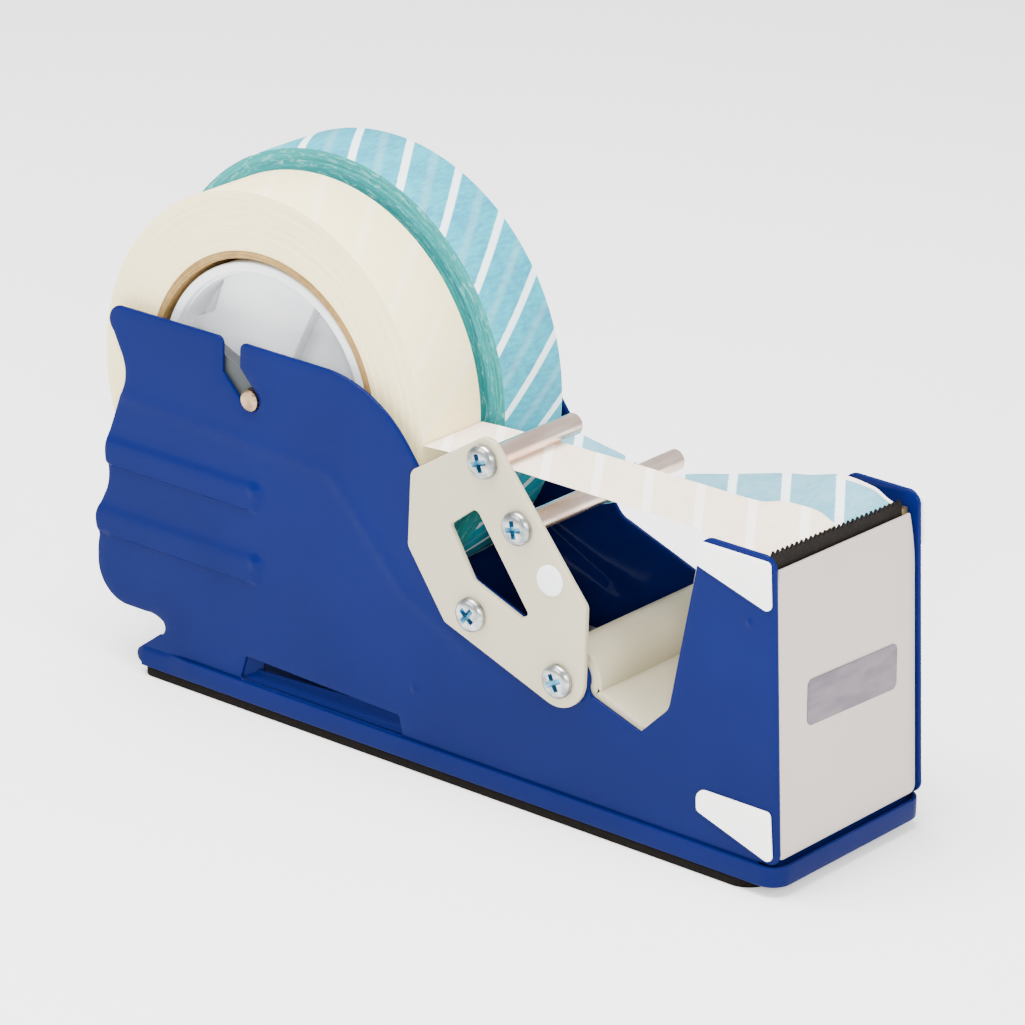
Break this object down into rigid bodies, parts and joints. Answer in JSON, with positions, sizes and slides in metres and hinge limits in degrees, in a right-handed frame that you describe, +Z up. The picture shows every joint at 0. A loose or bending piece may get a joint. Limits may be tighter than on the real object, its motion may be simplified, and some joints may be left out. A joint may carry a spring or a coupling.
{
  "type": "tape dispenser",
  "caption": "Heavy sheet-steel desk tape dispenser for two wide rolls on a lift-out axle, with guide rods, a finger well and a toothed blade.",
  "frame": {"origin": "middle of the underside of the base pad, under the centre of the whole object", "axes": "+X towards the blade, +Z up, -Y towards the side with the guide bracket"},
  "size_m": [0.2449, 0.0701, 0.1537],
  "materials": {
    "blue_paint": "satin powder coat",
    "ivory_paint": "satin powder coat",
    "black_foam": "matt",
    "cast_iron": "rough cast",
    "black_blade": "black oxide",
    "yellow_zinc": "yellow zinc",
    "nickel": "bright nickel",
    "zinc_screws": "bright zinc",
    "white_plastic": "satin",
    "grey_plastic": "satin",
    "white_felt": "matt",
    "silver_label": "satin foil",
    "cardboard": "matt",
    "cream_tape": "crepe paper",
    "teal_tape": "crepe paper"
  },
  "bodies": {
    "frame": {"base_ballast": "cast_iron", "base_pad": "black_foam", "base_tray": "blue_paint", "blade_carrier": "yellow_zinc", "blade_screws": "zinc_screws", "bracket_clinch_nuts": "zinc_screws", "bracket_screws": "zinc_screws", "column_ballast": "cast_iron", "cutting_blade": "black_blade", "far_lower_corner_pad": "white_felt", "far_side_plate": "blue_paint", "far_tape_end": "teal_tape", "far_upper_corner_pad": "white_felt", "front_cover": "ivory_paint", "guide_bracket": "ivory_paint", "hole_plug": "white_plastic", "label_plate": "silver_label", "lower_guide_rod": "nickel", "near_lower_corner_pad": "white_felt", "near_side_plate": "blue_paint", "near_tape_end": "cream_tape", "near_upper_corner_pad": "white_felt", "rod_screws": "zinc_screws", "upper_guide_rod": "nickel", "well_cover": "ivory_paint"},
    "axle": {"roll_axle": "nickel", "near_spacer": "grey_plastic", "middle_spacer": "grey_plastic", "far_spacer": "grey_plastic"},
    "near_roll": {"near_hub": "white_plastic", "near_core": "cardboard", "near_tape_roll": "cream_tape"},
    "far_roll": {"far_hub": "white_plastic", "far_core": "cardboard", "far_tape_roll": "teal_tape"}
  },
  "joints": [
    {"name": "axle_release", "type": "slide", "parent": "frame", "child": "axle", "axis": [-0.7071, 0, 0.7071], "range_m": [0, 0.0098]},
    {"name": "near_roll_spin", "type": "hinge", "parent": "axle", "child": "near_roll", "pos_m": [-0.06, 0, 0.0913], "axis": [0, 1, 0], "continuous": true},
    {"name": "far_roll_spin", "type": "hinge", "parent": "axle", "child": "far_roll", "pos_m": [-0.06, 0, 0.0913], "axis": [0, 1, 0], "continuous": true}
  ]
}
